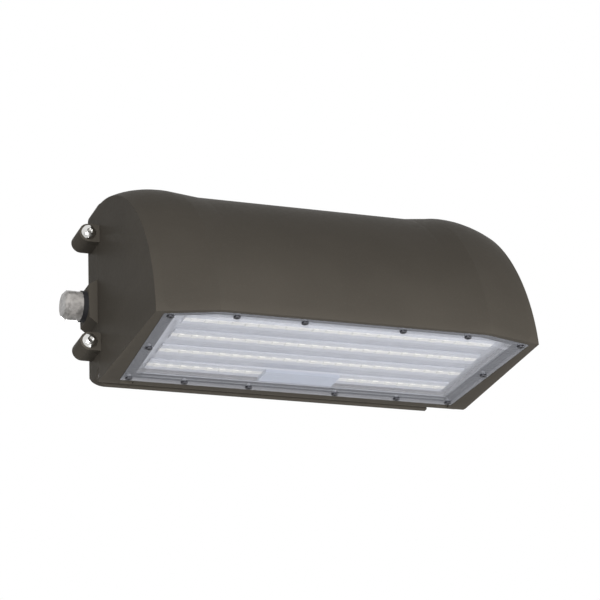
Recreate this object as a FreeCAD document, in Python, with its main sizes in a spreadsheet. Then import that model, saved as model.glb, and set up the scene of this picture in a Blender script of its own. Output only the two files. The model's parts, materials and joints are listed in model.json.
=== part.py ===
import FreeCAD, Part
import math
import os
import re
import Sketcher

# Wall pack light: a back box on the wall, a hinged front housing with a clear lens
# facing the ground, four LED rows, a driver, and a button photocell on the left side.
# Frame: origin on the wall at the middle of the back box, +X right, +Y into the wall,
# +Z up.  The front housing lies at negative Y.  Millimetres.

V = FreeCAD.Vector
SIDES = (("left", -1), ("right", 1))

SIZES = {
    # back box
    "box_width": 363.0,
    "box_height": 180.0,
    "box_depth": 30.0,
    "box_wall": 6.0,
    "box_back": 5.0,
    "box_sill": 22.0,
    "box_corner": 9.0,
    "box_rear_round": 2.0,
    "slope_run": 17.5,
    "slope_rise": 15.0,
    "lip_margin": 36.5,
    "lip_relief": 8.0,
    "pilot_depth": 4.0,
    "door_gap": 0.4,
    # seals between box, door and wall
    "seal_width": 3.2,
    "seal_depth": 2.6,
    "seal_inset": 1.6,
    "seal_corner": 4.0,
    "wall_seal_width": 7.0,
    "wall_seal_depth": 2.0,
    "wall_seal_inset": 12.0,
    "seal_slack": 0.1,
    # front housing
    "side_depth": 163.4,
    "side_drop": 7.0,
    "lean_top": 4.5,
    "lean_front": 1.1,
    "centre_depth": 178.0,
    "edge_margin": 54.5,
    "edge_drop": 0.5,
    "lobe_margin": 30.5,
    "lobe_over": 1.0,
    "shoulder_margin": 16.5,
    "shoulder_drop": 2.0,
    "recess_half": 104.0,
    "recess_dip": 2.4,
    "crease_rise": 48.0,
    "curve_power": 1.86,
    "housing_wall": 4.0,
    "bottom_plate": 8.0,
    "upstand_rise": 24.0,
    # hinge along the lower rear edge
    "hinge_radius": 6.0,
    "hinge_back": 1.0,
    "hinge_slack": 0.5,
    "knuckle_margin": 25.5,
    "knuckle_length": 12.0,
    "knuckle_slack": 0.4,
    "hinge_pin_radius": 2.5,
    "hinge_pin_length": 46.0,
    "hinge_pin_slack": 0.05,
    "hinge_pin_press": 0.01,
    "hinge_pin_recess": 1.0,
    "nose_recess": 0.5,
    # closing screws in their lugs
    "lug_radius": 8.8,
    "lug_out": 10.4,
    "lug_length": 18.0,
    "upper_lug_drop": 36.8,
    "lower_lug_up": 35.2,
    "ear_depth": 8.0,
    "closer_radius": 2.2,
    "closer_reach": 4.0,
    "closer_slack": 0.8,
    "closer_fit": 0.1,
    "closer_head_radius": 7.0,
    "closer_head_height": 4.6,
    "closer_travel": 4.0,
    "retainer_radius": 3.5,
    "retainer_depth": 0.8,
    "retainer_slack": 0.3,
    "retainer_inset": 0.5,
    "retainer_fit": 0.02,
    "closer_spare": 4.0,
    "closer_socket": 4.9,
    "closer_socket_depth": 2.53,
    # lens and its seal, seen from below
    "lens_rear": 7.0,
    "lens_rear_margin": 18.0,
    "lens_corner_margin": 9.5,
    "lens_corner_gap": 3.4,
    "lens_front_gap": 4.5,
    "lens_edge_margin": 2.0,
    "lens_flange": 3.0,
    "lens_seal": 1.0,
    "lens_seal_inset": 0.3,
    "lens_seal_lap": 1.0,
    "lens_slack": 0.4,
    "lens_skin": 2.5,
    "lens_drop": 1.5,
    "lens_slope": 3.0,
    "flange_width": 13.0,
    "lens_screw_radius": 1.6,
    "lens_screw_length": 7.4,
    "lens_screw_head": 3.2,
    "lens_screw_head_height": 1.8,
    "rear_screw_outer": 0.64,
    "rear_screw_inner": 0.26,
    "front_screw_outer": 0.87,
    "front_screw_inner": 0.37,
    "plate_screw_share": 0.45,
    "screw_slack": 0.3,
    "thread_slack": 0.05,
    # light engine
    "plate_lap": 8.0,
    "plate_thick": 3.0,
    "board_width": 20.0,
    "board_margin": 35.5,
    "board_thick": 1.6,
    "row_first": 33.0,
    "row_last": 35.5,
    "chip_size": 5.0,
    "chip_height": 0.8,
    "chip_pitch": 12.5,
    "chip_margin": 2.5,
    "cover_half": 36.0,
    "cover_rear": 21.0,
    "cover_front": 43.0,
    "cover_height": 2.9,
    "cover_wall": 1.2,
    "wire_hole_radius": 4.2,
    "fin_length": 250.0,
    "fin_thick": 2.0,
    "fin_pitch": 6.0,
    "fin_height": 20.0,
    "fin_start": 112.0,
    "fin_front_gap": 8.5,
    "small_screw_radius": 1.5,
    "small_screw_head": 2.9,
    "small_screw_head_height": 1.9,
    "plate_screw_length": 6.0,
    # driver tray and what it carries
    "tray_half": 125.0,
    "tray_rear": 28.0,
    "tray_front": 100.0,
    "tray_thick": 1.5,
    "tray_lip": 7.5,
    "tray_screw_length": 8.0,
    "post_height": 15.0,
    "post_radius": 4.0,
    "post_inset": 7.0,
    "post_thread": 11.0,
    "driver_length": 150.0,
    "driver_width": 46.0,
    "driver_height": 32.0,
    "driver_start": -95.0,
    "driver_rear": 48.0,
    "driver_round": 1.5,
    "driver_screw_length": 5.0,
    "foot_length": 9.0,
    "foot_width": 20.0,
    "foot_thick": 2.0,
    "surge_place": 72.0,
    "surge_length": 36.0,
    "surge_width": 44.0,
    "surge_height": 26.0,
    "surge_round": 2.0,
    "plug_length": 18.0,
    "plug_width": 11.0,
    "plug_height": 12.0,
    "plug_gap": 3.0,
    # leads on the door
    "lead_radius": 1.6,
    "supply_spread": 2.5,
    "supply_swing": 13.0,
    "supply_entry": 11.0,
    "output_radius": 1.28,
    "output_spread": 2.1,
    "output_swing": 14.0,
    "output_behind": 9.0,
    "output_rise": 10.0,
    "output_under": 40.0,
    "output_approach": 28.0,
    "output_end": 0.2,
    # photocell and side hubs
    "hub_up": 78.7,
    "hub_half": 22.0,
    "hub_flat_half": 16.0,
    "hub_rise": 6.0,
    "stem_radius": 8.0,
    "stem_slack": 0.2,
    "stem_reach": 22.0,
    "ring_radius": 14.5,
    "ring_depth": 4.5,
    "cap_radius": 13.7,
    "cap_length": 16.5,
    "cap_wall": 1.5,
    "cap_round": 3.0,
    "cap_fit": 0.2,
    "cap_seat": 2.0,
    "cell_radius": 5.0,
    "cell_drop": 6.0,
    "sensor_radius": 4.0,
    "sensor_depth": 1.6,
    "nut_flats": 18.6,
    "nut_depth": 4.0,
    "plug_head_radius": 12.0,
    "plug_head_depth": 5.0,
    "plug_head_round": 1.0,
    "plug_stem": 14.0,
    "plug_seal": 1.5,
    "plug_socket": 2.0,
    "ring_fit": 0.1,
    # wiring and fixing points in the back box
    "wall_hole_across": 280.0,
    "wall_hole_up": 110.0,
    "wall_hole_radius": 3.25,
    "entry_radius": 14.0,
    "entry_up": 30.0,
    "grommet_bore": 5.0,
    "grommet_lip": 2.5,
    "grommet_lip_depth": 1.5,
    "block_place": 62.0,
    "block_length": 56.0,
    "block_height": 20.0,
    "block_depth": 15.0,
    "block_foot": 6.0,
    "block_step": 8.0,
    "block_hole_inset": 4.0,
    "block_screw_length": 8.5,
    "clamp_radius": 2.6,
    "clamp_height": 1.0,
    "ground_place": 118.0,
    "ground_screw_length": 3.6,
    "ground_head": 4.0,
    "ground_head_height": 2.4,
    "washer_radius": 4.6,
    "washer_thick": 1.0,
    "cell_lead_spread": 3.8,
    "cell_lead_run": 42.0,
    "cell_lead_drop": 30.0,
    "cell_lead_low": 62.0,
    "cell_lead_climb": 26.0,
}


def make_sheet():
    """One spreadsheet row for each driving size."""
    sheet = doc.addObject("Spreadsheet::Sheet", "sizes")
    for row, (name, value) in enumerate(SIZES.items(), start=1):
        sheet.set("A%d" % row, name)
        sheet.set("B%d" % row, str(value))
        sheet.setAlias("B%d" % row, name)
    doc.recompute()
    return sheet


doc = FreeCAD.newDocument("WallPackLight")
sheet = make_sheet()


def size(text):
    """The value of an expression in the sheet's names, for shapes made in code."""
    return float(sheet.evalExpression(str(text)))


def bound(text):
    """The same expression, written so that any object of the document can hold it."""
    def named(found):
        word = found.group()
        return "sizes." + word if word in SIZES else word
    return re.sub(r"[a-z_]+", named, str(text))


TURNS = {
    "x": FreeCAD.Rotation(V(0, 1, 0), 90),
    "-x": FreeCAD.Rotation(V(0, 1, 0), -90),
    "y": FreeCAD.Rotation(V(1, 0, 0), -90),
    "-y": FreeCAD.Rotation(V(1, 0, 0), 90),
    "z": FreeCAD.Rotation(),
}


def new_body(label):
    body = doc.addObject("PartDesign::Body", label)
    body.Label = label
    return body


def place(thing, spot, axis="z"):
    """Turn a feature or body to an axis and bind its place to the sheet."""
    thing.Placement = FreeCAD.Placement(V(), TURNS[axis])
    for letter, text in zip("xyz", spot):
        thing.setExpression(".Placement.Base." + letter, bound(text))


def block(body, name, corner, lengths, cut=False):
    feature = body.newObject("PartDesign::" + ("Subtractive" if cut else "Additive") + "Box", name)
    for letter, text in zip(("Length", "Width", "Height"), lengths):
        feature.setExpression(letter, bound(text))
    place(feature, corner)
    return feature


def round_bar(body, name, start, axis, radius, length, cut=False):
    feature = body.newObject(
        "PartDesign::" + ("Subtractive" if cut else "Additive") + "Cylinder", name)
    feature.setExpression("Radius", bound(radius))
    feature.setExpression("Height", bound(length))
    place(feature, start, axis)
    return feature


def polygon_sketch(body, name, plane, outlines, offset="0"):
    """A sketch of closed polygons whose corners are bound to the sheet."""
    sketch = body.newObject("Sketcher::SketchObject", name)
    origin_plane = [o for o in body.Origin.OriginFeatures if o.Role == plane][0]
    sketch.AttachmentSupport = [(origin_plane, "")]
    sketch.MapMode = "FlatFace"
    sketch.setExpression(".AttachmentOffset.Base.z", bound(offset))
    for corners in outlines:
        spots = [V(size(a), size(b), 0) for a, b in corners]
        first = sketch.GeometryCount
        for index, spot in enumerate(spots):
            sketch.addGeometry(Part.LineSegment(spot, spots[(index + 1) % len(spots)]))
        for index in range(len(spots)):
            follower = first + (index + 1) % len(spots)
            sketch.addConstraint(Sketcher.Constraint("Coincident", first + index, 2, follower, 1))
        for index, (across, up) in enumerate(corners):
            for kind, text in (("DistanceX", across), ("DistanceY", up)):
                number = sketch.addConstraint(
                    Sketcher.Constraint(kind, -1, 1, first + index, 1, size(text)))
                sketch.setExpression("Constraints[%d]" % number, bound(text))
    return sketch


def rectangle(half, bottom, top):
    """Corners of a rectangle that is centred across."""
    half = "(" + half + ")"
    return [("-" + half, bottom), (half, bottom), (half, top), ("-" + half, top)]


def pad(body, name, sketch, length, cut=False, toward_normal=True):
    """Pad or pocket of a sketch; XZ sketches point along -Y."""
    feature = body.newObject("PartDesign::" + ("Pocket" if cut else "Pad"), name)
    feature.Profile = sketch
    feature.setExpression("Length", bound(length))
    feature.Reversed = (toward_normal == cut)
    return feature


def round_edges(body, name, base, radius, wanted):
    """Fillet on the edges of the base feature that a test picks."""
    doc.recompute()
    names = ["Edge%d" % (i + 1) for i, edge in enumerate(base.Shape.Edges) if wanted(edge)]
    feature = body.newObject("PartDesign::Fillet", name)
    feature.Base = (base, names)
    feature.setExpression("Radius", bound(radius))
    return feature


def turned(label, profile, spot, axis):
    """A body turned about its own axis; profile corners are (radius, height along it)."""
    body = new_body(label)
    sketch = polygon_sketch(body, label + "_profile", "XZ_Plane", [profile])
    feature = body.newObject("PartDesign::Revolution", label + "_turn")
    feature.Profile = sketch
    feature.ReferenceAxis = (sketch, ["V_Axis"])
    feature.Angle = 360
    place(body, spot, axis)
    return body


def along_y(edge):
    return edge.BoundBox.YLength > 1 and edge.BoundBox.XLength < 0.01 and edge.BoundBox.ZLength < 0.01


def on_wall(edge):
    return abs(edge.BoundBox.YMin) < 0.01 and abs(edge.BoundBox.YMax) < 0.01


def at_top(height):
    """A test for the edges that lie wholly at a height."""
    return lambda edge: edge.BoundBox.ZMin > size(height) - 0.01


def add_shape(label, shape):
    """A node whose shape is made in code from the sheet's values."""
    feature = doc.addObject("Part::Feature", label)
    feature.Label = label
    feature.Shape = shape
    return feature


def bar(start, end, radius):
    return Part.makeCylinder(radius, (end - start).Length, start, end - start)


def brick(low, high):
    return Part.makeBox(high.x - low.x, high.y - low.y, high.z - low.z, low)


# Shares of a screw head's height or radius.
HEAD_ROUND = 0.45
SLOT_DEPTH = 0.45
SLOT_LENGTH = 1.1
SLOT_WIDTH = 0.24


def pan_screw(spot, down, radius, length, head_radius, head_height):
    """A screw whose head rests at spot, with a cross slot in the head."""
    shank = bar(spot, spot + down * length, radius)
    head = Part.makeCylinder(head_radius, head_height, spot, down * -1)
    head = head.makeFillet(head_height * HEAD_ROUND, [head.Edges[0]])
    screw = shank.fuse(head)
    depth, long, wide = head_height * SLOT_DEPTH, head_radius * SLOT_LENGTH, head_radius * SLOT_WIDTH
    top = spot - down * (head_height - depth)
    upright = FreeCAD.Placement(top, FreeCAD.Rotation(V(0, 0, 1), down * -1))
    for turn in (0, 90):
        slot = Part.makeBox(long, wide, depth * 2)
        slot.translate(V(-long / 2, -wide / 2, 0))
        slot.rotate(V(), V(0, 0, 1), turn)
        slot.Placement = upright * slot.Placement
        screw = screw.cut(slot)
    return screw


def small_screw(spot, down, length):
    """The small screw used throughout the light engine and the wiring."""
    return pan_screw(spot, down, size("small_screw_radius"), size(length),
                     size("small_screw_head"), size("small_screw_head_height"))


BEND_SHARE = 0.45


def tube(spots, radius):
    """A lead of straight runs joined by arcs that use a share of the shorter run."""
    runs = [(b - a).Length for a, b in zip(spots[:-1], spots[1:])]
    edges = []
    here = spots[0]
    for index in range(1, len(spots) - 1):
        inward = (spots[index - 1] - spots[index]).normalize()
        outward = (spots[index + 1] - spots[index]).normalize()
        reach = BEND_SHARE * min(runs[index - 1], runs[index])
        start = spots[index] + inward * reach
        end = spots[index] + outward * reach
        middle_way = (inward + outward).normalize()
        half_angle = inward.getAngle(outward) / 2
        centre_far = reach / math.cos(half_angle)
        bend = reach * math.tan(half_angle)
        middle = spots[index] + middle_way * (centre_far - bend)
        edges.append(Part.makeLine(here, start))
        edges.append(Part.Arc(start, middle, end).toShape())
        here = end
    edges.append(Part.makeLine(here, spots[-1]))
    path = Part.Wire(edges)
    ring = Part.Wire(Part.makeCircle(radius, spots[0], spots[1] - spots[0]))
    return path.makePipeShell([ring], True, False)


# ---------------------------------------------------------------- back box

FLOOR = "(-box_height / 2)"
SEAM = "(-box_depth + door_gap)"
HINGE_Y = "(-box_depth + hinge_back)"
HINGE_Z = "(-box_height / 2 + hinge_radius)"
KNUCKLE_X = "(box_width / 2 - knuckle_margin)"
HUB_Y = "(-box_depth / 2)"
HUB_Z = "(hub_up - box_height / 2)"
LUG_Z = {
    "upper": "(box_height / 2 - upper_lug_drop)",
    "lower": "(lower_lug_up - box_height / 2)",
}
LUGS = [(side, height) for side in SIDES for height in ("upper", "lower")]
SIDE_RISE = "(box_height - side_drop)"
INNER_HALF = "(box_width / 2 - lean_top - box_wall)"


def side_at(z):
    """Half the width at a height: the box's sides lean in as the hood's do."""
    return "(box_width / 2 - lean_top * (%s + box_height / 2) / %s)" % (z, SIDE_RISE)


def leaning(inset, bottom, top, cut=None):
    """Corners of an outline with leaning sides, with its upper corners cut off if asked."""
    low = "(%s - (%s))" % (side_at(bottom), inset)
    high = "(%s - (%s))" % (side_at(top), inset)
    if cut is None:
        return [("-" + low, bottom), (low, bottom), (high, top), ("-" + high, top)]
    inner, under = "(%s - (%s))" % (high, cut), "%s - (%s)" % (top, cut)
    return [("-" + low, bottom), (low, bottom), (high, under), (inner, top),
            ("-" + inner, top), ("-" + high, under)]


def door_ring(slack):
    """Outer and inner outline of the seal that the door presses on, shrunk by a slack."""
    bottom = FLOOR + " + box_sill - seal_inset"
    top = "box_height / 2 - seal_inset"
    corner = "seal_corner - (2 - sqrt(2)) * seal_width"
    return [
        leaning("seal_inset + " + slack, bottom + " - seal_width + " + slack,
                top + " - " + slack, "seal_corner"),
        leaning("seal_inset + seal_width - " + slack, bottom + " - " + slack,
                top + " - seal_width + " + slack, corner),
    ]


def lug_spot(sign, level):
    return "%d * (%s + lug_out)" % (sign, side_at(LUG_Z[level]))


def build_back_box():
    body = new_body("back_box")
    outline = polygon_sketch(body, "box_outline", "XZ_Plane",
                             [leaning("0", FLOOR, "box_height / 2")])
    shell = pad(body, "box_block", outline, "-" + SEAM)
    corners = round_edges(body, "box_corners", shell, "box_corner", along_y)
    slope = polygon_sketch(body, "slope_profile", "YZ_Plane",
                           [[("-slope_run", FLOOR), ("0", FLOOR), ("0", FLOOR + " + slope_rise")]])
    slope_cut = body.newObject("PartDesign::Pocket", "slope_cut")
    slope_cut.Profile = slope
    slope_cut.Type = "ThroughAll"
    slope_cut.Midplane = True
    round_edges(body, "rear_round", slope_cut, "box_rear_round", on_wall)
    block(body, "wiring_space",
          ("-" + INNER_HALF, "-box_depth - 1", FLOOR + " + box_sill"),
          ("2 * " + INNER_HALF, "box_depth + 1 - box_back", "box_height - box_sill - box_wall"),
          cut=True)
    front_groove = polygon_sketch(body, "door_groove_profile", "XZ_Plane", door_ring("0"),
                                  "-" + SEAM + " - seal_depth")
    pad(body, "door_groove", front_groove, "seal_depth + 1", cut=True)
    rear_groove = polygon_sketch(body, "wall_groove_profile", "XZ_Plane", wall_ring("0"))
    pad(body, "wall_groove", rear_groove, "wall_seal_depth", cut=True)
    round_bar(body, "hinge_relief", ("-box_width / 2 - 1", HINGE_Y, HINGE_Z), "x",
              "hinge_radius + hinge_slack", "box_width + 2", cut=True)
    block(body, "swing_relief", ("-box_width / 2 - 1", "-box_depth - 1", FLOOR + " - 1"),
          ("box_width + 2", "hinge_back + hinge_radius + hinge_slack + 1", "hinge_radius + 1"),
          cut=True)
    block(body, "lip_relief_cut", ("box_width / 2 - lip_margin", HINGE_Y, FLOOR + " - 1"),
          ("lip_margin + 1", "-" + HINGE_Y + " + 1", "lip_relief + 1"), cut=True)
    for name, sign in SIDES:
        start = "%d * %s - knuckle_length / 2" % (sign, KNUCKLE_X)
        round_bar(body, name + "_knuckle", (start, HINGE_Y, HINGE_Z), "x",
                  "hinge_radius", "knuckle_length")
        block(body, name + "_knuckle_web", (start, HINGE_Y, HINGE_Z),
              ("knuckle_length", "hinge_radius + hinge_slack + 1", "hinge_radius"))
        round_bar(body, name + "_knuckle_bore", (start + " - 1", HINGE_Y, HINGE_Z), "x",
                  "hinge_pin_radius + hinge_pin_press", "knuckle_length + 2", cut=True)
        pad_top = "%d * (box_width / 2 + hub_rise)" % sign
        low, high = HUB_Z + " - hub_half", HUB_Z + " + hub_half"
        low_x, high_x = side_at(low), side_at(high)
        hub = polygon_sketch(body, name + "_hub_profile", "XZ_Plane", [[
            ("%d * (%s - 1)" % (sign, low_x), low), ("%d * %s" % (sign, low_x), low),
            (pad_top, HUB_Z + " - hub_flat_half"), (pad_top, HUB_Z + " + hub_flat_half"),
            ("%d * %s" % (sign, high_x), high), ("%d * (%s - 1)" % (sign, high_x), high)]])
        pad(body, name + "_hub", hub, "-" + SEAM)
        bore_start = pad_top + " + %d" % sign
        round_bar(body, name + "_hub_bore", (bore_start, HUB_Y, HUB_Z),
                  "-x" if sign > 0 else "x", "stem_radius + stem_slack",
                  "hub_rise + lean_top + box_wall + 2", cut=True)
    for (name, sign), level in LUGS:
        height = LUG_Z[level]
        label = level + "_" + name + "_lug"
        spot = lug_spot(sign, level)
        web_start = side_at(height) + " - 1" if sign > 0 else spot
        block(body, label + "_web", (web_start, SEAM, height + " - lug_radius"),
              ("lug_out + 1", "lug_length", "2 * lug_radius"))
        round_bar(body, label, (spot, SEAM, height), "y", "lug_radius", "lug_length")
        round_bar(body, label + "_bore", (spot, SEAM + " - 1", height), "y",
                  "closer_radius + closer_slack", "closer_reach + closer_spare", cut=True)
    for name, sign in SIDES:
        for level, up in (("low", -1), ("high", 1)):
            round_bar(body, "wall_hole_%s_%s" % (name, level),
                      ("%d * wall_hole_across / 2" % sign, "-box_back - 1",
                       "%d * wall_hole_up / 2" % up), "y",
                      "wall_hole_radius", "box_back + 2", cut=True)
    round_bar(body, "wire_entry", ("0", "-box_back - 1", "entry_up"), "y", "entry_radius",
              "box_back + 2", cut=True)
    for spot in block_screws() + [ground_spot()]:
        round_bar(body, "pilot_%d" % len(body.Group), (spot[0], "-box_back - 1", spot[1]), "y",
                  "small_screw_radius + thread_slack", "pilot_depth", cut=True)
    return body


def wall_ring(slack):
    """Outer and inner rectangle of the seal against the wall, shrunk by a slack."""
    bottom = FLOOR + " + slope_rise + wall_seal_inset / 2"
    top = "box_height / 2 - wall_seal_inset"
    half = "box_width / 2 - wall_seal_inset"
    return [
        rectangle(half + " - " + slack, bottom + " + " + slack, top + " - " + slack),
        rectangle(half + " - wall_seal_width + " + slack,
                  bottom + " + wall_seal_width - " + slack,
                  top + " - wall_seal_width + " + slack),
    ]


def build_seals():
    """The ring against the wall and the ring that the closed door presses on."""
    body = new_body("wall_gasket")
    ring = polygon_sketch(body, "wall_gasket_profile", "XZ_Plane", wall_ring("seal_slack"))
    pad(body, "wall_gasket_pad", ring, "wall_seal_depth")
    body = new_body("door_gasket")
    ring = polygon_sketch(body, "door_gasket_profile", "XZ_Plane", door_ring("seal_slack"),
                          "-" + SEAM + " - seal_depth")
    pad(body, "door_gasket_pad", ring, "seal_depth + door_gap - 0.05")


# ---------------------------------------------------------------- front housing

CURVE_STEPS = 28
# Where a section of the hood's end lies across, and how high it rises from the floor.
SECTIONS = {
    "shoulder": ("(box_width / 2 - shoulder_margin)", "(box_height - shoulder_drop)"),
    "lobe": ("(box_width / 2 - lobe_margin)", "(box_height + lobe_over)"),
    "edge": ("(box_width / 2 - edge_margin)", "(box_height - edge_drop)"),
}
EDGE_X, EDGE_RISE = SECTIONS["edge"]


def housing_curve(place_x, depth, rise, dip, wall, lift):
    """Points of a section from the front lip over the top to the rear plane."""
    power = 2 / size("curve_power")
    floor = size(FLOOR)
    rear = -size("box_depth")
    reach, climb = depth - wall, rise - wall
    start = math.asin((lift / climb) ** (1 / power))
    points = []
    for step in range(CURVE_STEPS + 1):
        turn = start + (math.pi / 2 - start) * step / CURVE_STEPS
        forward = math.cos(turn) ** power if step < CURVE_STEPS else 0.0
        upward = math.sin(turn) ** power
        share = max(0.0, (climb * upward - size("crease_rise")) / (climb - size("crease_rise")))
        sink = dip * math.sin(share * math.pi / 2)
        y = rear - (reach - sink) * forward
        z = floor + (climb - sink) * upward
        points.append(V(place_x(y, z), y, z))
    return points


def housing_section(place_x, depth, rise, dip=0.0, wall=0.0, lift=0.0, rear_reach=0.0):
    """Closed section wire: curve, stub at the top, rear line and floor line."""
    points = housing_curve(place_x, depth, rise, dip, wall, lift)
    curve = Part.BSplineCurve()
    curve.interpolate(points)
    floor_z = points[0].z
    rear_y = -size("box_depth") + rear_reach
    top_rear = V(place_x(rear_y, points[-1].z), rear_y, points[-1].z)
    low_rear = V(place_x(rear_y, floor_z), rear_y, floor_z)
    edges = [curve.toShape()]
    if rear_reach:
        edges.append(Part.makeLine(points[-1], top_rear))
    edges.append(Part.makeLine(top_rear, low_rear))
    edges.append(Part.makeLine(low_rear, points[0]))
    return Part.Wire(edges)


def housing_form(wall=0.0, lift=0.0, rear_reach=0.0):
    """The whole rounded hood as one solid, or the space inside it."""
    floor, rear = size(FLOOR), -size("box_depth")
    half = size("box_width / 2")
    edge_x = size(EDGE_X)
    keep = dict(wall=wall, lift=lift, rear_reach=rear_reach)

    def side_x(y, z):
        return (half - wall - size("lean_top") * (z - floor) / size(SIDE_RISE)
                - size("lean_front") * (rear - y) / size("side_depth"))

    def depth_at(x):
        share = (x - edge_x) / (half - edge_x)
        return size("centre_depth") + share * size("side_depth - centre_depth")

    def flat(x):
        return lambda y, z: x

    side = housing_section(side_x, size("side_depth"), size(SIDE_RISE), **keep)
    rounds = [housing_section(flat(size(across)), depth_at(size(across)), size(rise), **keep)
              for across, rise in SECTIONS.values()]
    recess = size("recess_half")
    dipped = [housing_section(flat(sign * recess), size("centre_depth"), size(EDGE_RISE),
                              size("recess_dip"), **keep) for sign in (1, -1)]
    end = Part.makeLoft([side] + rounds, True, False)
    blend = Part.makeLoft([rounds[-1], dipped[0]], True, True)
    middle = Part.makeLoft(dipped, True, True)
    across = V(1, 0, 0)
    pieces = [end, blend, end.mirror(V(), across), blend.mirror(V(), across)]
    return middle.multiFuse(pieces)


# How far two shapes that are joined run into each other.
OVERLAP = 0.5

LENS_REAR_HALF = "(box_width / 2 - lens_rear_margin)"
LENS_CORNER_HALF = "(box_width / 2 - lens_corner_margin)"
LENS_CORNER = "(side_depth - lens_corner_gap)"
LENS_FRONT_HALF = "(box_width / 2 - edge_margin - lens_edge_margin)"
LENS_FRONT = "(centre_depth - lens_front_gap)"
ROW_PITCH = "((centre_depth - lens_front_gap - row_last - row_first) / 3)"


def lens_outline(inset, z):
    """The six-sided outline of the lens, drawn in by an inset, at a height."""
    rear = -size("box_depth")
    right = [V(size(LENS_REAR_HALF), rear - size("lens_rear"), z),
             V(size(LENS_CORNER_HALF), rear - size(LENS_CORNER), z),
             V(size(LENS_FRONT_HALF), rear - size(LENS_FRONT), z)]
    corners = right + [V(-p.x, p.y, z) for p in reversed(right)]
    wire = Part.makePolygon(corners + corners[:1])
    return wire.makeOffset2D(-inset, 2) if inset else wire


def lens_prism(inset, low, high):
    return Part.Face(lens_outline(inset, low)).extrude(V(0, 0, high - low))


def lens_screw_spots():
    """Fourteen screw places in the middle of the lens flange."""
    rear = -size("box_depth")
    inset = size("flange_width / 2")
    rear_y = rear - size("lens_rear") - inset
    front_y = rear - size(LENS_FRONT) + inset
    corner_y = rear - size(LENS_CORNER) + inset / 2
    slant = size(LENS_CORNER_HALF + " - " + LENS_REAR_HALF) / size(LENS_CORNER + " - lens_rear")

    def side_x(y):
        return size(LENS_REAR_HALF) + slant * (rear - size("lens_rear") - y) - inset

    middle_y = (rear_y + corner_y) / 2
    spots = [(side_x(y), y) for y in (rear_y, middle_y, corner_y)]
    for place_share in ("outer", "inner"):
        spots.append((size("rear_screw_" + place_share + " * " + LENS_REAR_HALF), rear_y))
        spots.append((size("front_screw_" + place_share + " * " + LENS_FRONT_HALF), front_y))
    return [V(sign * x, y, 0) for sign in (-1, 1) for x, y in spots]


def plate_screw_spots():
    """Six screws that hold the LED plate on the ledge round the opening."""
    rear = -size("box_depth")
    lap = size("plate_lap / 2")
    rear_y = rear - size("lens_rear + flange_width") + lap
    front_y = rear - size(LENS_FRONT + " - flange_width") - lap
    middle_y = (rear_y + front_y) / 2 + size(ROW_PITCH + " / 2")
    side = size("(" + LENS_REAR_HALF + " + " + LENS_CORNER_HALF + ") / 2 - flange_width") + lap
    inner = size("plate_screw_share") * side
    spots = [(inner, rear_y), (inner, front_y), (side, middle_y)]
    return [V(sign * x, y, 0) for sign in (-1, 1) for x, y in spots]


def build_front_housing():
    floor, rear = size(FLOOR), -size("box_depth")
    half = size("box_width / 2")
    plate_top = size("bottom_plate")
    outer = housing_form()
    space = housing_form(size("housing_wall"), plate_top, 2.0)
    upstand = brick(V(-half, rear - size("housing_wall"), floor),
                    V(half, rear, floor + size("upstand_rise")))
    space = space.cut(upstand)
    housing = outer.cut(space)
    hinge_y, hinge_z = size(HINGE_Y), size(HINGE_Z)
    nose_end = size("box_width / 2 - nose_recess")
    nose = bar(V(-nose_end, hinge_y, hinge_z), V(nose_end, hinge_y, hinge_z), size("hinge_radius"))
    ears = []
    holes = []
    retainer_space = size("closer_travel + retainer_inset + retainer_depth + retainer_slack")
    for (name, sign), level in LUGS:
        spot = V(size(lug_spot(sign, level)), rear, size(LUG_Z[level]))
        front = spot - V(0, size("ear_depth"), 0)
        radius = size("lug_radius")
        ears.append(bar(spot, front, radius))
        inner = half - size("lean_top + housing_wall / 2")
        ears.append(brick(V(min(spot.x, sign * inner), front.y, spot.z - radius),
                          V(max(spot.x, sign * inner), rear, spot.z + radius)))
        holes.append(bar(front - V(0, 1, 0), spot + V(0, 1, 0), size("closer_radius + closer_fit")))
        holes.append(bar(spot - V(0, retainer_space, 0), spot + V(0, 1, 0),
                         size("retainer_radius + retainer_slack")))
    housing = housing.multiFuse([nose] + ears)
    slot = size("knuckle_length / 2 + knuckle_slack")
    reach = size("hinge_radius + hinge_slack")
    for name, sign in SIDES:
        centre = sign * size(KNUCKLE_X)
        holes.append(bar(V(centre - slot, hinge_y, hinge_z),
                         V(centre + slot, hinge_y, hinge_z), reach))
        holes.append(brick(V(centre - slot, hinge_y, floor - 1),
                           V(centre + slot, hinge_y + reach, hinge_z + reach)))
        holes.append(brick(V(centre - slot, hinge_y - reach, floor - 1),
                           V(centre + slot, hinge_y + reach, hinge_z)))
        inner = sign * size("box_width / 2 - hinge_pin_recess - hinge_pin_length")
        holes.append(bar(V(inner, hinge_y, hinge_z), V(sign * (half + 1), hinge_y, hinge_z),
                         size("hinge_pin_radius + hinge_pin_slack")))
    recess = size("lens_flange + lens_seal")
    holes.append(lens_prism(-size("lens_slack"), floor - 1, floor + recess))
    holes.append(lens_prism(size("flange_width"), floor, floor + plate_top + 1))
    for spot in lens_screw_spots():
        holes.append(bar(spot + V(0, 0, floor), spot + V(0, 0, floor + size("lens_screw_length")),
                         size("lens_screw_radius + thread_slack")))
    for spot in plate_screw_spots():
        low = floor + plate_top - size("plate_screw_length - plate_thick")
        holes.append(bar(spot + V(0, 0, low), spot + V(0, 0, floor + plate_top + 1),
                         size("small_screw_radius + thread_slack")))
    add_shape("front_housing", housing.cut(holes))


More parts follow.
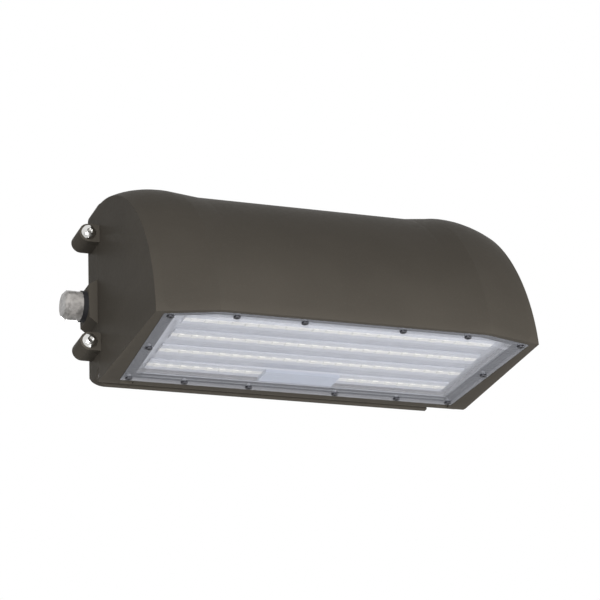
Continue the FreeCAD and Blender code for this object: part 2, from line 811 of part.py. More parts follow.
def build_lens():
    """Clear lens: a flange under the screws and a shallow tray that drops below it."""
    floor = size(FLOOR)
    flange = size("lens_flange")
    top = floor + flange
    width, slope = size("flange_width"), size("lens_slope")
    drop, skin = size("lens_drop"), size("lens_skin")
    lens = lens_prism(0, floor, top)
    tray = Part.makeLoft([lens_outline(width, floor + OVERLAP),
                          lens_outline(width + slope, floor - drop)], True)
    lens = lens.fuse(tray)
    hollow = Part.makeLoft([lens_outline(width + skin / 2, top + OVERLAP),
                            lens_outline(width + slope + skin / 2, floor - drop + skin)], True)
    lens = lens.cut(hollow)
    holes = [bar(spot + V(0, 0, floor - 1), spot + V(0, 0, top + 1),
                 size("lens_screw_radius + screw_slack")) for spot in lens_screw_spots()]
    add_shape("lens", lens.cut(holes))
    seal_top = top + size("lens_seal")
    seal = lens_prism(size("lens_seal_inset"), top, seal_top)
    seal = seal.cut(lens_prism(width - size("lens_seal_lap"), top - 1, seal_top + 1))
    holes = [bar(spot + V(0, 0, top - 1), spot + V(0, 0, seal_top + 1),
                 size("lens_screw_radius + screw_slack")) for spot in lens_screw_spots()]
    add_shape("lens_gasket", seal.cut(holes))
    screws = [pan_screw(spot + V(0, 0, floor), V(0, 0, 1), size("lens_screw_radius"),
                        size("lens_screw_length"), size("lens_screw_head"),
                        size("lens_screw_head_height")) for spot in lens_screw_spots()]
    add_shape("lens_screws", Part.makeCompound(screws))


# ---------------------------------------------------------------- light engine

BOARD_HALF = "(box_width / 2 - board_margin)"
PLATE_LOW = "(-box_height / 2 + bottom_plate)"
PLATE_TOP = "(-box_height / 2 + bottom_plate + plate_thick)"
TRAY_LOW = "(-box_height / 2 + bottom_plate + plate_thick + post_height)"
TRAY_TOP = "(-box_height / 2 + bottom_plate + plate_thick + post_height + tray_thick)"


def post_spots():
    """Places of the four posts under the driver tray."""
    x = size("tray_half - post_inset")
    rear = -size("box_depth")
    ys = (rear - size("tray_rear + post_inset"), rear - size("tray_front - post_inset"))
    return [V(sign * x, y, 0) for sign in (-1, 1) for y in ys]


def wire_hole():
    return V(0, -size("box_depth + (cover_rear + cover_front) / 2"), 0)


def build_light_engine():
    low, top = size(PLATE_LOW), size(PLATE_TOP)
    rear = -size("box_depth")
    plate = lens_prism(size("flange_width - plate_lap"), low, top)
    fins = []
    plate_front = size(LENS_FRONT + " - flange_width + plate_lap")
    fin_room = plate_front - size("fin_front_gap + fin_start")
    for index in range(int(fin_room / size("fin_pitch"))):
        y = rear - size("fin_start") - index * size("fin_pitch")
        fins.append(brick(V(-size("fin_length / 2"), y - size("fin_thick"), top - OVERLAP),
                          V(size("fin_length / 2"), y, top + size("fin_height"))))
    posts = [bar(spot + V(0, 0, top - OVERLAP), spot + V(0, 0, size(TRAY_LOW)), size("post_radius"))
             for spot in post_spots()]
    plate = plate.multiFuse(fins + posts)
    holes = [bar(spot + V(0, 0, low - 1), spot + V(0, 0, top + 1),
                 size("small_screw_radius + screw_slack")) for spot in plate_screw_spots()]
    holes += [bar(spot + V(0, 0, size(TRAY_LOW + " - post_thread")),
                  spot + V(0, 0, size(TRAY_LOW) + 1),
                  size("small_screw_radius + thread_slack")) for spot in post_spots()]
    holes.append(bar(wire_hole() + V(0, 0, low - 1), wire_hole() + V(0, 0, top + 1),
                     size("wire_hole_radius")))
    add_shape("led_plate", plate.cut(holes))
    screws = [small_screw(spot + V(0, 0, top), V(0, 0, -1), "plate_screw_length")
              for spot in plate_screw_spots()]
    add_shape("plate_screws", Part.makeCompound(screws))
    board_low = low - size("board_thick")
    chips = []
    for row in range(4):
        body = new_body("led_board_%d" % (row + 1))
        row_y = "-box_depth - row_first - %d * %s" % (row, ROW_PITCH)
        block(body, "board_block_%d" % row,
              ("-" + BOARD_HALF, row_y + " - board_width / 2", PLATE_LOW + " - board_thick"),
              ("2 * " + BOARD_HALF, "board_width", "board_thick"))
        if row == 0:
            round_bar(body, "board_wire_hole",
                      ("0", "-box_depth - (cover_rear + cover_front) / 2",
                       PLATE_LOW + " - board_thick - 1"), "z", "wire_hole_radius",
                      "board_thick + 2", cut=True)
        count = int(size("2 * (" + BOARD_HALF + " - chip_margin) / chip_pitch"))
        for index in range(count + 1):
            x = (index - count / 2) * size("chip_pitch")
            if row == 0 and abs(x) < size("cover_half") + size("chip_size"):
                continue
            half = size("chip_size") / 2
            y = size(row_y)
            chips.append(brick(V(x - half, y - half, board_low - size("chip_height")),
                               V(x + half, y + half, board_low)))
    add_shape("led_chips", Part.makeCompound(chips))
    cover = new_body("wire_cover")
    block(cover, "cover_block",
          ("-cover_half", "-box_depth - cover_front", PLATE_LOW + " - board_thick - cover_height"),
          ("2 * cover_half", "cover_front - cover_rear", "cover_height"))
    block(cover, "cover_hollow",
          ("-cover_half + cover_wall", "-box_depth - cover_front + cover_wall",
           PLATE_LOW + " - board_thick - cover_height + cover_wall"),
          ("2 * cover_half - 2 * cover_wall", "cover_front - cover_rear - 2 * cover_wall",
           "cover_height"), cut=True)


# ---------------------------------------------------------------- driver tray

def build_driver():
    tray = new_body("driver_tray")
    block(tray, "tray_sheet", ("-tray_half", "-box_depth - tray_front", TRAY_LOW),
          ("2 * tray_half", "tray_front - tray_rear", "tray_thick"))
    block(tray, "tray_lip_strip", ("-tray_half", "-box_depth - tray_front", TRAY_LOW),
          ("2 * tray_half", "tray_thick", "tray_lip"))
    for name, sign in SIDES:
        for end, reach in (("rear", "tray_rear + post_inset"), ("front", "tray_front - post_inset")):
            round_bar(tray, "tray_hole_%s_%s" % (name, end),
                      ("%d * (tray_half - post_inset)" % sign, "-box_depth - (%s)" % reach,
                       TRAY_LOW + " - 1"), "z",
                      "small_screw_radius + screw_slack", "tray_thick + 2", cut=True)
    driver = new_body("led_driver")
    case = block(driver, "driver_block",
                 ("driver_start", "-box_depth - driver_rear - driver_width", TRAY_TOP),
                 ("driver_length", "driver_width", "driver_height"))
    round_edges(driver, "driver_rounds", case, "driver_round", at_top(TRAY_TOP + " + driver_height"))
    middle_y = "-box_depth - driver_rear - driver_width / 2"
    driver_end = "driver_start + driver_length"
    feet = (("left_foot", "driver_start - foot_length", "driver_start - foot_length / 2"),
            ("right_foot", driver_end, driver_end + " + foot_length / 2"))
    for name, start, hole in feet:
        block(driver, name, (start, middle_y + " - foot_width / 2", TRAY_TOP),
              ("foot_length", "foot_width", "foot_thick"))
        round_bar(driver, name + "_hole", (hole, middle_y, TRAY_TOP + " - 1"), "z",
                  "small_screw_radius + screw_slack", "foot_thick + 2", cut=True)
        round_bar(tray, name + "_tray_hole", (hole, middle_y, TRAY_LOW + " - 1"), "z",
                  "small_screw_radius + thread_slack", "tray_thick + 2", cut=True)
    surge = new_body("surge_protector")
    case = block(surge, "surge_block",
                 ("surge_place", "-box_depth - driver_rear - surge_width", TRAY_TOP),
                 ("surge_length", "surge_width", "surge_height"))
    round_edges(surge, "surge_rounds", case, "surge_round", at_top(TRAY_TOP + " + surge_height"))
    down = V(0, 0, -1)
    tray_top = size(TRAY_TOP)
    screws = [small_screw(spot + V(0, 0, tray_top), down, "tray_screw_length")
              for spot in post_spots()]
    add_shape("tray_screws", Part.makeCompound(screws))
    foot_top = tray_top + size("foot_thick")
    screws = [small_screw(V(size(hole), size(middle_y), foot_top), down, "driver_screw_length")
              for name, start, hole in feet]
    add_shape("driver_screws", Part.makeCompound(screws))


def build_leads():
    """The supply connector on the tray and the leads that stay on the door."""
    plug_low = "-box_depth - tray_rear - plug_gap - plug_width"
    for name, start in (("connector_socket", "-plug_length"), ("connector_plug", "0")):
        body = new_body(name)
        block(body, name + "_block", (start, plug_low, TRAY_TOP),
              ("plug_length", "plug_width", "plug_height"))
    plug_y = size(plug_low + " + plug_width / 2")
    driver_y = size("-box_depth - driver_rear - driver_width / 2")
    lead_z = size(TRAY_TOP + " + plug_height / 2")
    end_x = size("driver_start + driver_length")
    swing_x = end_x + size("supply_swing")
    entry_y = driver_y + size("supply_entry")
    supply = []
    for sign in (-1, 1):
        z = lead_z + sign * size("supply_spread")
        spots = [V(end_x, entry_y, z), V(swing_x, entry_y, z),
                 V(swing_x, plug_y, z), V(size("plug_length"), plug_y, z)]
        supply.append(tube(spots, size("lead_radius")))
    add_shape("supply_leads", Part.makeCompound(supply))
    hole = wire_hole()
    low = size(PLATE_LOW + " - board_thick - output_end")
    run_z = (size(PLATE_TOP) + size(TRAY_LOW)) / 2
    behind = size("-box_depth - tray_rear + output_behind")
    swing_x = -size("tray_half + output_swing")
    output = []
    for sign in (-1, 1):
        shift = sign * size("output_spread")
        spots = [V(size("driver_start"), driver_y + shift, lead_z),
                 V(swing_x + shift, driver_y + shift, lead_z),
                 V(swing_x + shift, behind, run_z + size("output_rise")),
                 V(-size("tray_half - output_under"), behind, run_z + shift),
                 V(hole.x - size("output_approach"), hole.y, run_z + shift),
                 V(hole.x + shift, hole.y, run_z + shift / 3),
                 V(hole.x + shift, hole.y, low)]
        output.append(tube(spots, size("output_radius")))
    add_shape("output_leads", Part.makeCompound(output))


# ---------------------------------------------------------------- photocell, hub plug, wiring

def build_photocell():
    spot = ("-box_width / 2 - hub_rise", HUB_Y, HUB_Z)
    neck = "cap_radius - cap_wall - cap_fit"
    cell_top = "ring_depth + cap_length - cell_drop"
    turned("photocell_body", [
        ("0", "-stem_reach"), ("stem_radius", "-stem_reach"), ("stem_radius", "ring_depth"),
        (neck, "ring_depth"), (neck, "ring_depth + cap_seat"), ("cell_radius", "ring_depth + cap_seat"),
        ("cell_radius", cell_top), ("0", cell_top)], spot, "-x")
    turned("photocell_gasket", [
        ("stem_radius + ring_fit", "0"), ("ring_radius", "0"), ("ring_radius", "ring_depth"),
        ("stem_radius + ring_fit", "ring_depth")], spot, "-x")
    top = "(ring_depth + cap_length)"
    turned("photocell_cap", [
        ("cap_radius - cap_wall", "ring_depth"), ("cap_radius", "ring_depth"),
        ("cap_radius", top + " - cap_round"), ("cap_radius - cap_round", top), ("0", top),
        ("0", top + " - cap_wall"), ("cap_radius - cap_round - cap_wall / 2", top + " - cap_wall"),
        ("cap_radius - cap_wall", top + " - cap_round - cap_wall / 2")], spot, "-x")
    turned("photocell_sensor", [
        ("0", "0"), ("sensor_radius", "0"), ("sensor_radius", "sensor_depth"), ("0", "sensor_depth")],
        ("-box_width / 2 - hub_rise - (%s)" % cell_top, HUB_Y, HUB_Z), "-x")


def hexagon(flats):
    """Corners of a nut with flats facing its first axis."""
    half = "(%s / 2)" % flats
    far = "(%s / sqrt(3))" % flats
    side = "(%s / 2)" % far
    return [("-" + half, "-" + side), ("0", "-" + far), (half, "-" + side),
            (half, side), ("0", far), ("-" + half, side)]


def build_nut():
    body = new_body("photocell_nut")
    sketch = polygon_sketch(body, "nut_profile", "YZ_Plane", [hexagon("nut_flats")])
    pad(body, "nut_pad", sketch, "nut_depth")
    round_bar(body, "nut_bore", ("-1", "0", "0"), "x", "stem_radius + ring_fit",
              "nut_depth + 2", cut=True)
    place(body, ("-" + INNER_HALF, HUB_Y, HUB_Z))


def build_hub_plug():
    spot = ("box_width / 2 + hub_rise", HUB_Y, HUB_Z)
    top = "plug_seal + plug_head_depth"
    plug = turned("hub_plug", [
        ("0", "-plug_stem"), ("stem_radius", "-plug_stem"), ("stem_radius", "plug_seal"),
        ("plug_head_radius", "plug_seal"), ("plug_head_radius", top + " - plug_head_round"),
        ("plug_head_radius - plug_head_round", top), ("0", top)], spot, "x")
    socket = polygon_sketch(plug, "plug_socket_profile", "XY_Plane", [hexagon("plug_head_radius")],
                            top + " - plug_socket")
    pad(plug, "plug_socket_cut", socket, "plug_head_depth", cut=True)
    rim = "plug_head_radius - plug_head_round"
    turned("hub_plug_gasket", [
        ("stem_radius + ring_fit", "0"), (rim, "0"), (rim, "plug_seal"),
        ("stem_radius + ring_fit", "plug_seal")], spot, "x")


def block_screws():
    reach = "(block_length / 2 - block_hole_inset)"
    return [("block_place - " + reach, HUB_Z), ("block_place + " + reach, HUB_Z)]


def ground_spot():
    return ("ground_place", HUB_Z)


def build_wiring():
    """Terminal block, ground screw, cable grommet and the photocell's leads."""
    body = new_body("terminal_block")
    block(body, "terminal_base",
          ("block_place - block_length / 2", "-box_back - block_foot", HUB_Z + " - block_height / 2"),
          ("block_length", "block_foot", "block_height"))
    block(body, "terminal_top",
          ("block_place - block_length / 2 + block_step", "-box_back - block_depth",
           HUB_Z + " - block_height * 0.3"),
          ("block_length - 2 * block_step", "block_depth - block_foot / 2", "block_height * 0.6"))
    for index, (x, z) in enumerate(block_screws()):
        round_bar(body, "terminal_hole_%d" % index, (x, "-box_back - block_foot - 1", z),
                  "y", "small_screw_radius + screw_slack", "block_foot + 2", cut=True)
    into = V(0, 1, 0)
    rest = size("-box_back - block_foot")
    screws = [small_screw(V(size(x), rest, size(z)), into, "block_screw_length")
              for x, z in block_screws()]
    add_shape("terminal_screws", Part.makeCompound(screws))
    clamps = []
    for step in (-1, 0, 1):
        spot = V(size("block_place + %d * (block_length - 2 * block_step) / 3" % step),
                 size("-box_back - block_depth"), size(HUB_Z))
        clamps.append(bar(spot, spot - into * size("clamp_height"), size("clamp_radius")))
    add_shape("terminal_clamps", Part.makeCompound(clamps))
    ground_x, ground_z = ground_spot()
    face = V(size(ground_x), size("-box_back"), size(ground_z))
    washer_face = face - into * size("washer_thick")
    ground = pan_screw(washer_face, into, size("small_screw_radius"), size("ground_screw_length"),
                       size("ground_head"), size("ground_head_height"))
    add_shape("ground_screw", ground)
    washer = bar(washer_face, face, size("washer_radius"))
    washer = washer.cut(bar(washer_face - into, face + into, size("small_screw_radius + screw_slack")))
    add_shape("ground_washer", washer)
    lip = "entry_radius + grommet_lip"
    turned("entry_grommet", [
        ("grommet_bore", "-grommet_lip_depth"), (lip, "-grommet_lip_depth"), (lip, "0"),
        ("entry_radius - ring_fit", "0"), ("entry_radius - ring_fit", "box_back"),
        ("grommet_bore", "box_back")], ("0", "-box_back", "entry_up"), "y")
    stem_end = size("-box_width / 2 - hub_rise + stem_reach")
    hub_y, hub_z = size(HUB_Y), size(HUB_Z)
    end_x = size("block_place - block_length / 2 + block_step")
    end_y = size("-box_back - (block_depth + block_foot) / 2")
    run, drop = size("cell_lead_run"), size("cell_lead_drop")
    leads = []
    for step in (-1, 0, 1):
        z = hub_z + step * size("cell_lead_spread")
        spots = [V(stem_end, hub_y, z), V(stem_end + run, hub_y, z),
                 V(stem_end + 2 * run, hub_y, z - drop),
                 V(end_x - size("cell_lead_low"), end_y, z - drop),
                 V(end_x - size("cell_lead_climb"), end_y, z), V(end_x, end_y, z)]
        leads.append(tube(spots, size("lead_radius")))
    add_shape("photocell_leads", Part.makeCompound(leads))


# ---------------------------------------------------------------- hinge pins and closing screws

def build_hinge_pins():
    for name, sign in SIDES:
        inner = "box_width / 2 - hinge_pin_recess - hinge_pin_length"
        start = inner if sign > 0 else "-(box_width / 2 - hinge_pin_recess)"
        body = new_body("hinge_pin_" + name)
        round_bar(body, "pin_%s_bar" % name, (start, HINGE_Y, HINGE_Z), "x",
                  "hinge_pin_radius", "hinge_pin_length")


# Shares of the head's radius and height along the domed head of a closing screw.
DOME = ((1.0, 0.0), (1.0, 0.22), (0.93, 0.5), (0.75, 0.78), (0.42, 0.96), (0.0, 1.0))


def build_closing_screws():
    dome = [("closer_head_radius * %s" % across, "closer_head_height * %s" % up)
            for across, up in DOME]
    tip = "-ear_depth - closer_reach - door_gap"
    ring_low = "-ear_depth + retainer_inset"
    ring_top = ring_low + " + retainer_depth"
    bore = "closer_radius + retainer_fit"
    for (name, sign), level in LUGS:
        label = "closing_screw_%s_%s" % (level, name)
        spot = (lug_spot(sign, level), "-box_depth - ear_depth", LUG_Z[level])
        body = turned(label, [("0", tip), ("closer_radius", tip), ("closer_radius", "0")] + dome,
                      spot, "-y")
        socket = polygon_sketch(body, label + "_socket", "XY_Plane", [hexagon("closer_socket")],
                                "closer_head_height - closer_socket_depth")
        pad(body, label + "_socket_cut", socket, "closer_head_height", cut=True)
        turned("retainer_%s_%s" % (level, name), [
            (bore, ring_low), ("retainer_radius", ring_low), ("retainer_radius", ring_top),
            (bore, ring_top)], spot, "-y")


build_back_box()
build_seals()
build_front_housing()
build_lens()
build_light_engine()
build_driver()
build_leads()
build_photocell()
build_nut()
build_hub_plug()
build_wiring()
build_hinge_pins()
build_closing_screws()

doc.recompute()
bad = [(thing.Name, thing.State) for thing in doc.Objects if {"Invalid", "Error"} & set(thing.State)]
if bad:
    raise SystemExit("failed objects: %s" % bad)
nodes = [thing for thing in doc.Objects if thing.TypeId in ("PartDesign::Body", "Part::Feature")]
for node in nodes:
    if node.Shape.isNull() or not node.Shape.isValid():
        raise SystemExit("bad shape: " + node.Label)
os.makedirs("parts", exist_ok=True)
for node in nodes:
    node.Shape.exportStep("parts/%s.step" % node.Label)
    print("%-28s %3d solids %10.1f mm3" % (node.Label, len(node.Shape.Solids), node.Shape.Volume))
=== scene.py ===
import json
import math

import bmesh
import bpy
from mathutils import Matrix, Vector


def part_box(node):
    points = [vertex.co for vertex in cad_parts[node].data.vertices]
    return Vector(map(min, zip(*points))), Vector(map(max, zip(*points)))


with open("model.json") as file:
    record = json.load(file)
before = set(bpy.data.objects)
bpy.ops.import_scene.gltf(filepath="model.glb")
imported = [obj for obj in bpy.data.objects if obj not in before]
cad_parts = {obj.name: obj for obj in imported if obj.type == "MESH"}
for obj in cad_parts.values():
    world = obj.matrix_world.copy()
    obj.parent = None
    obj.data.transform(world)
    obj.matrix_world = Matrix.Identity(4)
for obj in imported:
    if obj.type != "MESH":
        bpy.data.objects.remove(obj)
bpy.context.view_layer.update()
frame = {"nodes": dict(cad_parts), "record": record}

NODES = frame["nodes"]
MM = 0.001
WHITE = (1.0, 1.0, 1.0, 1.0)


# ---------------------------------------------------------------- colours

# The curve of screen colours: a straight foot up to the knee, and a power above it.
KNEE = 0.04045
FOOT_SLOPE = 12.92
CURVE_LIFT = 0.055
CURVE_POWER = 2.4


def linear(red, green, blue):
    """A colour given as it shows on screen, 0 to 255, as the linear colour of a shader."""
    def one(value):
        part = value / 255
        if part <= KNEE:
            return part / FOOT_SLOPE
        return ((part + CURVE_LIFT) / (1 + CURVE_LIFT)) ** CURVE_POWER
    return (one(red), one(green), one(blue), 1.0)


def shade(colour, factor):
    """The colour made lighter or darker."""
    return tuple(min(1.0, part * factor) for part in colour[:3]) + (1.0,)


# ---------------------------------------------------------------- node materials

# Cloudy noise runs from 0 to 1, and most of it lies between these two.
NOISE_LOW = 0.3
NOISE_HIGH = 0.7


class Finish:
    """A node material around one surface shader, with places measured in metres."""

    def __init__(self, name, metallic=0.0, **sockets):
        self.material = bpy.data.materials.new(name)
        self.material.use_nodes = True
        self.tree = self.material.node_tree
        self.tree.nodes.clear()
        self.shader = self.node("ShaderNodeBsdfPrincipled")
        self.shader.inputs["Metallic"].default_value = metallic
        for socket, value in sockets.items():
            self.shader.inputs[socket.replace("_", " ")].default_value = value
        output = self.node("ShaderNodeOutputMaterial")
        self.link(self.shader.outputs["BSDF"], output.inputs["Surface"])
        self.place = self.node("ShaderNodeTexCoord").outputs["Object"]

    def node(self, kind, **settings):
        """A new node, with its settings."""
        made = self.tree.nodes.new(kind)
        for key, value in settings.items():
            setattr(made, key, value)
        return made

    def link(self, source, target):
        """Feeds the target socket from the source."""
        self.tree.links.new(source, target)

    def stretched(self, scale):
        """The place, stretched along the axes."""
        mapping = self.node("ShaderNodeMapping")
        mapping.inputs["Scale"].default_value = scale
        self.link(self.place, mapping.inputs["Vector"])
        return mapping.outputs["Vector"]

    def texture(self, kind, scale, along=None, **settings):
        """A texture over the place, with its scale per metre."""
        made = self.node(kind, **settings)
        made.inputs["Scale"].default_value = scale
        self.link(self.stretched(along) if along else self.place, made.inputs["Vector"])
        return made

    def noise(self, size, detail=2.0, rough=0.5, along=None):
        """Cloudy noise whose patches are about size metres."""
        made = self.texture("ShaderNodeTexNoise", 1 / size, along)
        made.inputs["Detail"].default_value = detail
        made.inputs["Roughness"].default_value = rough
        return made.outputs["Fac"]

    def ramp(self, source, low, high, start=0.0, end=1.0, held=True):
        """Maps the source from start..end to low..high, and holds it there unless told not to."""
        made = self.node("ShaderNodeMapRange", clamp=held)
        made.inputs["From Min"].default_value = start
        made.inputs["From Max"].default_value = end
        made.inputs["To Min"].default_value = low
        made.inputs["To Max"].default_value = high
        self.link(source, made.inputs["Value"])
        return made.outputs["Result"]

    def patches(self, size, low, high, start=NOISE_LOW, end=NOISE_HIGH, **noise):
        """Noise with patches of about size metres, mapped from start..end to low..high."""
        return self.ramp(self.noise(size, **noise), low, high, start, end)

    def between(self, factor, first, second):
        """A colour between two, by factor."""
        made = self.node("ShaderNodeMix", data_type="RGBA")
        self.link(factor, made.inputs["Factor"])
        for socket, value in ((made.inputs["A"], first), (made.inputs["B"], second)):
            if isinstance(value, tuple):
                socket.default_value = value
            else:
                self.link(value, socket)
        return made.outputs["Result"]

    def coloured(self, source):
        """Sets the base colour."""
        self.link(source, self.shader.inputs["Base Color"])

    def clouded(self, size, first, second, **noise):
        """Lets the base colour drift between two, in patches of about size metres."""
        self.coloured(self.between(self.patches(size, 0.0, 1.0, **noise), first, second))

    def roughened(self, size, low, high, **noise):
        """Lets the roughness drift from low to high, in patches of about size metres."""
        self.link(self.patches(size, low, high, **noise), self.shader.inputs["Roughness"])

    def dented(self, *layers):
        """Bumps laid over each other; each layer is a height source and its depth in metres."""
        below = None
        for source, depth in layers:
            bump = self.node("ShaderNodeBump")
            bump.inputs["Strength"].default_value = 1.0
            bump.inputs["Distance"].default_value = depth
            self.link(source, bump.inputs["Height"])
            if below:
                self.link(below, bump.inputs["Normal"])
            below = bump.outputs["Normal"]
        self.link(below, self.shader.inputs["Normal"])


def powder_coat():
    """Dark bronze powder coat: a fine peel, speckle, and a painted highlight that lightens its edges.
    """
    made = Finish("bronze_powder_coat", Specular_IOR_Level=0.006)
    base = linear(73, 69, 63)
    cloud = made.patches(60 * MM, 0.0, 1.0, detail=3.0)
    tone = made.between(cloud, shade(base, 0.95), shade(base, 1.04))
    speck = made.patches(0.7 * MM, 0.0, 0.8, start=0.60, end=0.72, detail=1.0)
    tone = made.between(speck, tone, shade(base, 1.22))
    # Painted highlight: convex edges, found by their pointiness, are painted lighter to stand in for
    # light catching them.
    edge = made.node("ShaderNodeNewGeometry").outputs["Pointiness"]
    painted_edge_highlight = made.ramp(edge, 0.0, 0.5, start=0.52, end=0.62)
    made.coloured(made.between(painted_edge_highlight, tone, shade(base, 1.5)))
    made.roughened(4 * MM, 0.36, 0.44, detail=3.0)
    made.dented(
        (made.noise(1.4 * MM), 0.02 * MM),
        (made.noise(0.5 * MM, detail=1.0), 0.01 * MM),
    )
    return made.material


def rubber(name, colour):
    """Rubber or soft insulation with a pale bloom on it."""
    made = Finish(name, Specular_IOR_Level=0.3)
    made.clouded(20 * MM, colour, shade(colour, 1.7), detail=4.0, start=0.4, end=0.75)
    made.roughened(3 * MM, 0.62, 0.85)
    made.dented((made.noise(0.8 * MM), 0.03 * MM))
    return made.material


def moulded(name, colour, low=0.32, high=0.5):
    """Moulded plastic with a fine grain, its roughness from low to high."""
    made = Finish(name)
    made.clouded(30 * MM, shade(colour, 0.94), shade(colour, 1.05), detail=3.0)
    made.roughened(2 * MM, low, high)
    made.dented((made.noise(0.6 * MM), 0.02 * MM))
    return made.material


def metal(name, colour, low, high, along=None):
    """Bare metal, its roughness from low to high; along draws its grain out into brushed lines."""
    made = Finish(name, metallic=1.0)
    made.clouded(12 * MM, shade(colour, 0.85), shade(colour, 1.05), detail=4.0, end=0.75)
    made.roughened(1.8 * MM, low, high, along=along)
    made.dented((made.noise(0.6 * MM, along=along), 0.012 * MM))
    return made.material


def galvanised():
    """Zinc-coated sheet with its crystal flowers, about 9 mm across."""
    made = Finish("galvanised_sheet", metallic=1.0)
    cells = made.texture("ShaderNodeTexVoronoi", 110.0)
    spread = made.node("ShaderNodeSeparateColor")
    made.link(cells.outputs["Color"], spread.inputs["Color"])
    flower = spread.outputs["Red"]
    made.coloured(made.between(flower, linear(168, 171, 174), linear(198, 200, 203)))
    made.link(made.ramp(flower, 0.30, 0.52), made.shader.inputs["Roughness"])
    made.dented((made.noise(1.2 * MM), 0.01 * MM))
    return made.material


def clear_polycarbonate():
    """The lens: clear and faintly milky, with fine ribs along the light rows."""
    made = Finish("clear_polycarbonate", IOR=1.5)
    base = linear(221, 224, 234)
    made.clouded(50 * MM, shade(base, 0.93), base, detail=3.0)
    made.roughened(12 * MM, 0.12, 0.20)
    ribs = made.texture("ShaderNodeTexWave", 60.0, wave_type="BANDS", bands_direction="Y")
    made.link(made.ramp(ribs.outputs["Fac"], 0.20, 0.26), made.shader.inputs["Alpha"])
    made.dented(
        (ribs.outputs["Fac"], 0.06 * MM),
        (made.noise(3 * MM), 0.02 * MM),
    )
    return made.material


def silvery_cap():
    """The photocell's cap: silvery and mottled, and clearest where it is palest."""
    made = Finish("silvery_cap", IOR=1.5)
    base = linear(190, 186, 182)
    cloud = made.patches(8 * MM, 0.0, 1.0, start=0.36, end=0.64, detail=5.0, rough=0.6)
    made.coloured(made.between(cloud, shade(base, 0.34), base))
    made.roughened(2 * MM, 0.08, 0.16)
    made.link(made.ramp(cloud, 0.94, 0.82), made.shader.inputs["Alpha"])
    made.dented((made.noise(6 * MM), 0.1 * MM))
    return made.material


def middle_y(node):
    """The middle of a piece, from front to back."""
    low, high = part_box(node)
    return (low[1] + high[1]) / 2


def rows_away(finish):
    """How far a place is from the middle of the nearest row of chips, in rows: 0 to one half.

    The rows run along X and are evenly spaced along Y, each in the middle of its board."""
    split = finish.node("ShaderNodeSeparateXYZ")
    finish.link(finish.place, split.inputs["Vector"])
    first = middle_y("led_board_1")
    second = middle_y("led_board_2")
    row = finish.ramp(split.outputs["Y"], 0.0, 1.0, start=first, end=second, held=False)
    fold = finish.node("ShaderNodeMath", operation="PINGPONG")
    fold.inputs[1].default_value = 0.5
    finish.link(row, fold.inputs[0])
    return fold.outputs["Value"]


def solder_mask():
    """Circuit board: a pale mask with faint tracks, and a white band where the chips stand."""
    made = Finish("white_solder_mask")
    base = linear(200, 202, 209)
    tracks = made.texture("ShaderNodeTexBrick", 80.0)
    tracks.inputs["Mortar Size"].default_value = 0.03
    printed = made.between(tracks.outputs["Fac"], base, shade(base, 0.86))
    band = made.ramp(rows_away(made), 1.0, 0.0, start=0.07, end=0.12)
    made.coloured(made.between(band, printed, linear(255, 252, 243)))
    made.roughened(4 * MM, 0.35, 0.5)
    made.dented((tracks.outputs["Fac"], 0.02 * MM))
    return made.material


def phosphor():
    """The face of a light emitting chip: a warm white body."""
    made = Finish("phosphor_face")
    base = linear(254, 251, 240)
    made.clouded(1.5 * MM, shade(base, 0.95), base)
    made.roughened(1 * MM, 0.4, 0.55)
    made.dented((made.noise(0.8 * MM), 0.02 * MM))
    return made.material


# The grain of the plate and of the driver's case runs along X.
BRUSHED = (0.05, 1.0, 1.0)

FINISHES = {
    "bronze_paint": powder_coat(),
    "rubber_seal": rubber("black_seal_rubber", linear(30, 30, 32)),
    "clear_lens": clear_polycarbonate(),
    "smoked_cap": silvery_cap(),
    "dark_screw": metal("black_oxide", linear(74, 74, 78), 0.34, 0.5),
    "bright_steel": metal("zinc_plated_steel", linear(188, 189, 192), 0.22, 0.36),
    "screw_steel": metal("polished_stainless", linear(222, 221, 218), 0.10, 0.20),
    "ground_green": moulded("green_passivated", linear(44, 118, 62), 0.3, 0.45),
    "bare_aluminium": metal("satin_aluminium", linear(188, 190, 197), 0.32, 0.46, BRUSHED),
    "tray_steel": galvanised(),
    "board_white": solder_mask(),
    "led_light": phosphor(),
    "driver_case": metal("driver_aluminium", linear(176, 178, 181), 0.34, 0.5, BRUSHED),
    "black_plastic": moulded("black_plastic", linear(44, 44, 46)),
    "white_plastic": moulded("white_plastic", linear(230, 230, 226)),
    "lead_cover": rubber("lead_insulation", linear(58, 58, 62)),
    "sensor_face": moulded("sensor_face", linear(150, 96, 70)),
}


def dress(piece, finish):
    """Gives every material slot of a piece the finish."""
    if not piece.material_slots:
        piece.data.materials.append(finish)
    for slot in piece.material_slots:
        slot.material = finish


for part in frame["record"]["subparts"]:
    dress(NODES[part["node"]], FINISHES[part["material_slot"]])

# The flat cover over the boards' leads is a pale bluish plastic, not board like its neighbours.
dress(NODES["wire_cover"], moulded("cover_plastic", linear(176, 184, 200)))


# ---------------------------------------------------------------- camera

# The camera stands low on the left in front of the light and looks up at it.
YAW = math.radians(22.63)
PITCH = math.radians(23.15)
ROLL = math.radians(-4.13)
CAMERA_PLACE = (-0.8395, -2.0922, -0.9471)
LENS_MM = 154.62
SENSOR_MM = 36.0
NEAR = 0.05
FAR = 50.0


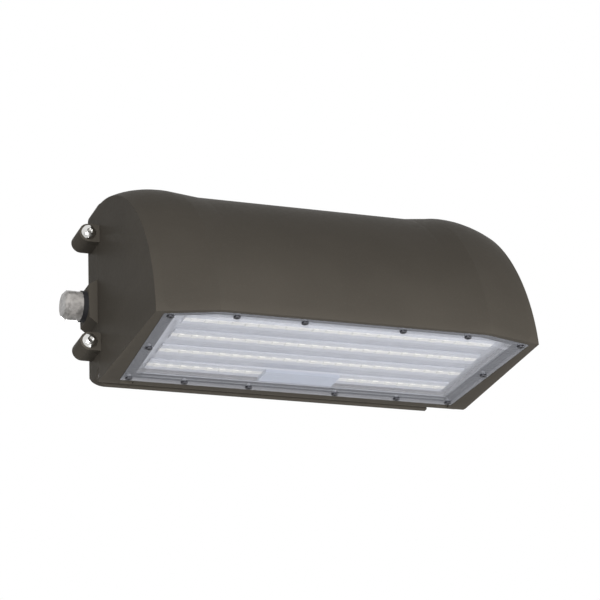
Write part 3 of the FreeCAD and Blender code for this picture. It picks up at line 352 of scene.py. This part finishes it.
def make_camera():
    """Builds the camera from its turns about the upright, the level and its own axis."""
    forward = Vector((
        math.sin(YAW) * math.cos(PITCH),
        math.cos(YAW) * math.cos(PITCH),
        math.sin(PITCH),
    ))
    level = Vector((math.cos(YAW), -math.sin(YAW), 0.0))
    upward = level.cross(forward)
    right = math.cos(ROLL) * level + math.sin(ROLL) * upward
    above = math.cos(ROLL) * upward - math.sin(ROLL) * level
    turn = Matrix((right, above, -forward)).transposed()
    data = bpy.data.cameras.new("camera")
    data.lens = LENS_MM
    data.sensor_width = SENSOR_MM
    data.clip_start = NEAR
    data.clip_end = FAR
    camera = bpy.data.objects.new("camera", data)
    camera.matrix_world = Matrix.Translation(CAMERA_PLACE) @ turn.to_4x4()
    bpy.context.scene.collection.objects.link(camera)
    bpy.context.scene.camera = camera


make_camera()


# ---------------------------------------------------------------- light and floor

# The middle of the hood, which the lights face.
AIM = Vector((0.0, -0.08, 0.0))

# Each light's place, the side of its square in metres, and its power in watts.
SOFTBOXES = {
    "light_left": ((-0.95, -2.1, -0.3), 0.7, 44.0),
    "light_right": ((2.5, -0.6, -0.5), 0.7, 40.0),
    "light_below": ((0.4, -0.9, -1.25), 0.9, 14.5),
    "light_behind": ((0.2, 2.3, 0.5), 0.9, 30.0),
}

BACKDROP_STRENGTH = 1.0
ROOM_STRENGTH = 0.28
FLOOR_GLOW = 0.55
FLOOR_DROP = 2.9
FLOOR_REACH = 12.0


def softbox(name, place, side, power):
    """A square soft light that faces the object."""
    data = bpy.data.lights.new(name, "AREA")
    data.shape = "SQUARE"
    data.size = side
    data.energy = power
    lamp = bpy.data.objects.new(name, data)
    lamp.location = place
    lamp.rotation_mode = "QUATERNION"
    lamp.rotation_quaternion = (AIM - Vector(place)).to_track_quat("-Z", "Y")
    bpy.context.scene.collection.objects.link(lamp)


def seen_rays(tree):
    """One for the rays that show a surface: from the camera, off a gloss or through a clear piece."""
    path = tree.nodes.new("ShaderNodeLightPath")
    found = path.outputs["Is Camera Ray"]
    for kind in ("Is Glossy Ray", "Is Transmission Ray"):
        either = tree.nodes.new("ShaderNodeMath")
        either.operation = "MAXIMUM"
        tree.links.new(found, either.inputs[0])
        tree.links.new(path.outputs[kind], either.inputs[1])
        found = either.outputs[0]
    return found


def make_world():
    """White behind the object and in its reflections; a softer white lights it."""
    world = bpy.data.worlds.new("studio")
    world.use_nodes = True
    bpy.context.scene.world = world
    tree = world.node_tree
    tree.nodes.clear()
    mix = tree.nodes.new("ShaderNodeMixShader")
    tree.links.new(seen_rays(tree), mix.inputs["Fac"])
    for socket, strength in ((mix.inputs[1], ROOM_STRENGTH), (mix.inputs[2], BACKDROP_STRENGTH)):
        white = tree.nodes.new("ShaderNodeBackground")
        white.inputs["Color"].default_value = WHITE
        white.inputs["Strength"].default_value = strength
        tree.links.new(white.outputs["Background"], socket)
    output = tree.nodes.new("ShaderNodeOutputWorld")
    tree.links.new(mix.outputs["Shader"], output.inputs["Surface"])


def floor_finish():
    """Pale and matt. It glows a little where it is seen, and lights nothing by that."""
    made = Finish("pale_floor", Specular_IOR_Level=0.2)
    base = linear(236, 236, 236)
    made.coloured(made.between(made.noise(0.8), shade(base, 0.98), base))
    made.roughened(0.2, 0.6, 0.7, start=0.0, end=1.0)
    made.shader.inputs["Emission Color"].default_value = WHITE
    glow = made.ramp(seen_rays(made.tree), 0.0, FLOOR_GLOW)
    made.link(glow, made.shader.inputs["Emission Strength"])
    return made.material


def make_floor():
    """A floor far enough below for a look from underneath."""
    shape = bmesh.new()
    corners = [
        shape.verts.new((FLOOR_REACH * x, FLOOR_REACH * y, -FLOOR_DROP))
        for x, y in ((-1, -1), (1, -1), (1, 1), (-1, 1))
    ]
    shape.faces.new(corners)
    mesh = bpy.data.meshes.new("floor")
    shape.to_mesh(mesh)
    shape.free()
    floor = bpy.data.objects.new("floor", mesh)
    dress(floor, floor_finish())
    bpy.context.scene.collection.objects.link(floor)


for name, (place, side, power) in SOFTBOXES.items():
    softbox(name, place, side, power)
make_world()
make_floor()
bpy.context.scene.view_settings.view_transform = "Standard"
